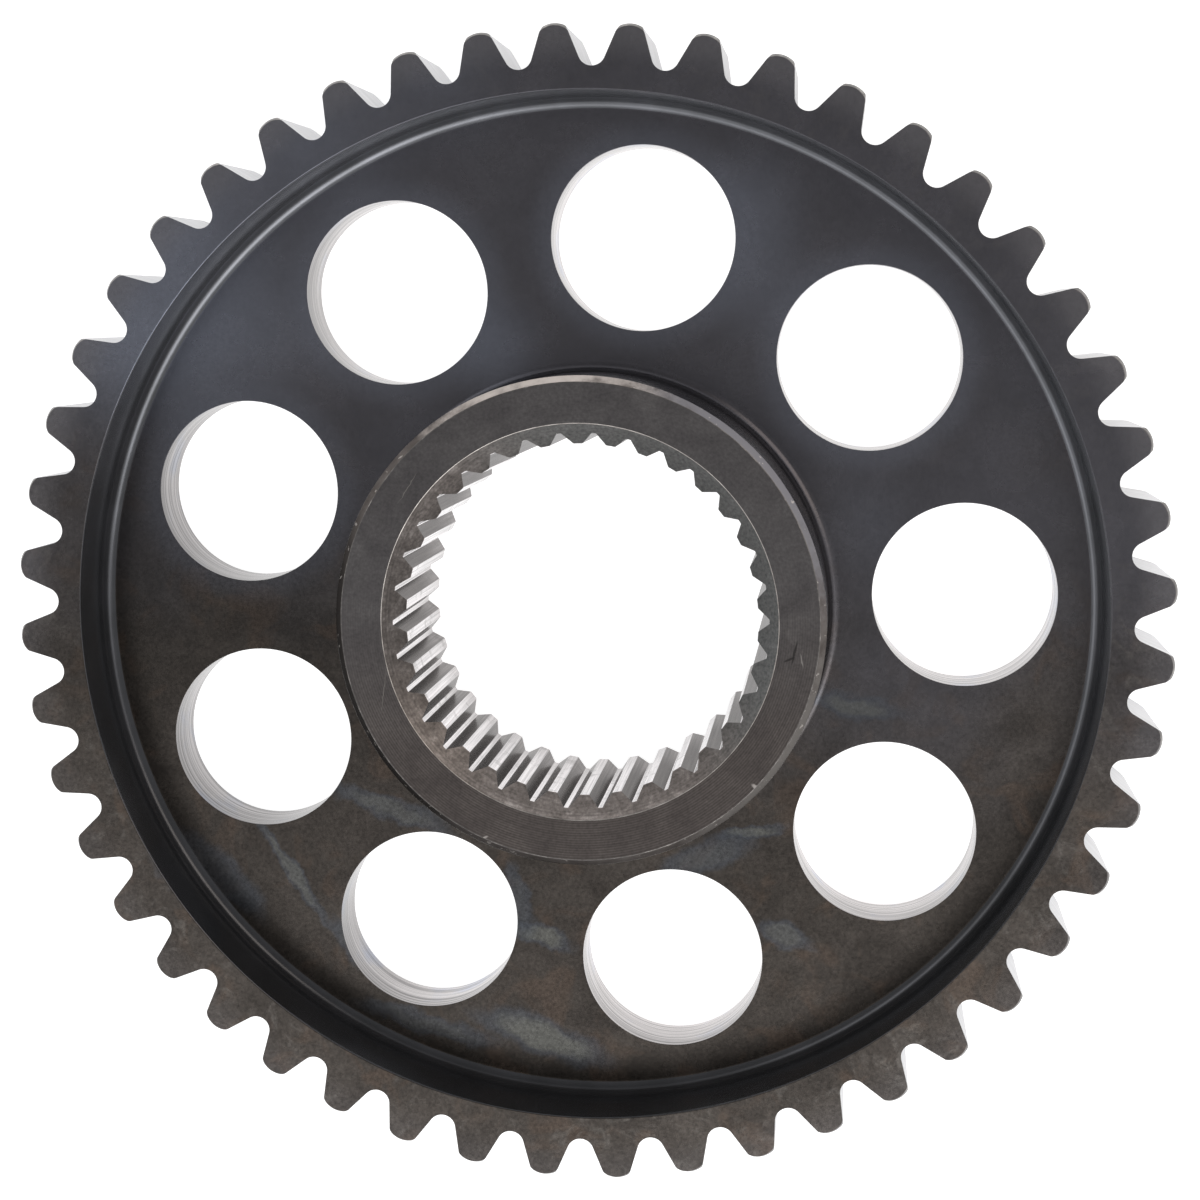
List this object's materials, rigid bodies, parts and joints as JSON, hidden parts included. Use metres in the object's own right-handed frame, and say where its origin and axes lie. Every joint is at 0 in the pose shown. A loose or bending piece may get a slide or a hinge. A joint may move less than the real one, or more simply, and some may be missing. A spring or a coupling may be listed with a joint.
{
  "type": "chain sprocket",
  "caption": "Toothed sprocket for an inverted-tooth chain, in dark oxidised steel, with a recessed web, round lightening holes and a raised hub with a splined bore.",
  "frame": {"origin": "where the bore's axis meets the flat back face", "axes": "+Z along the bore's axis from the flat back to the hub's end face, +X through the middle of a tooth"},
  "size_m": [0.146, 0.146, 0.0232],
  "materials": {
    "oxidised_steel": "dark oxide over machined steel, with bright hole walls, tooth flanks and splines"
  },
  "bodies": {
    "root": {"sprocket": "oxidised_steel"}
  },
  "joints": []
}
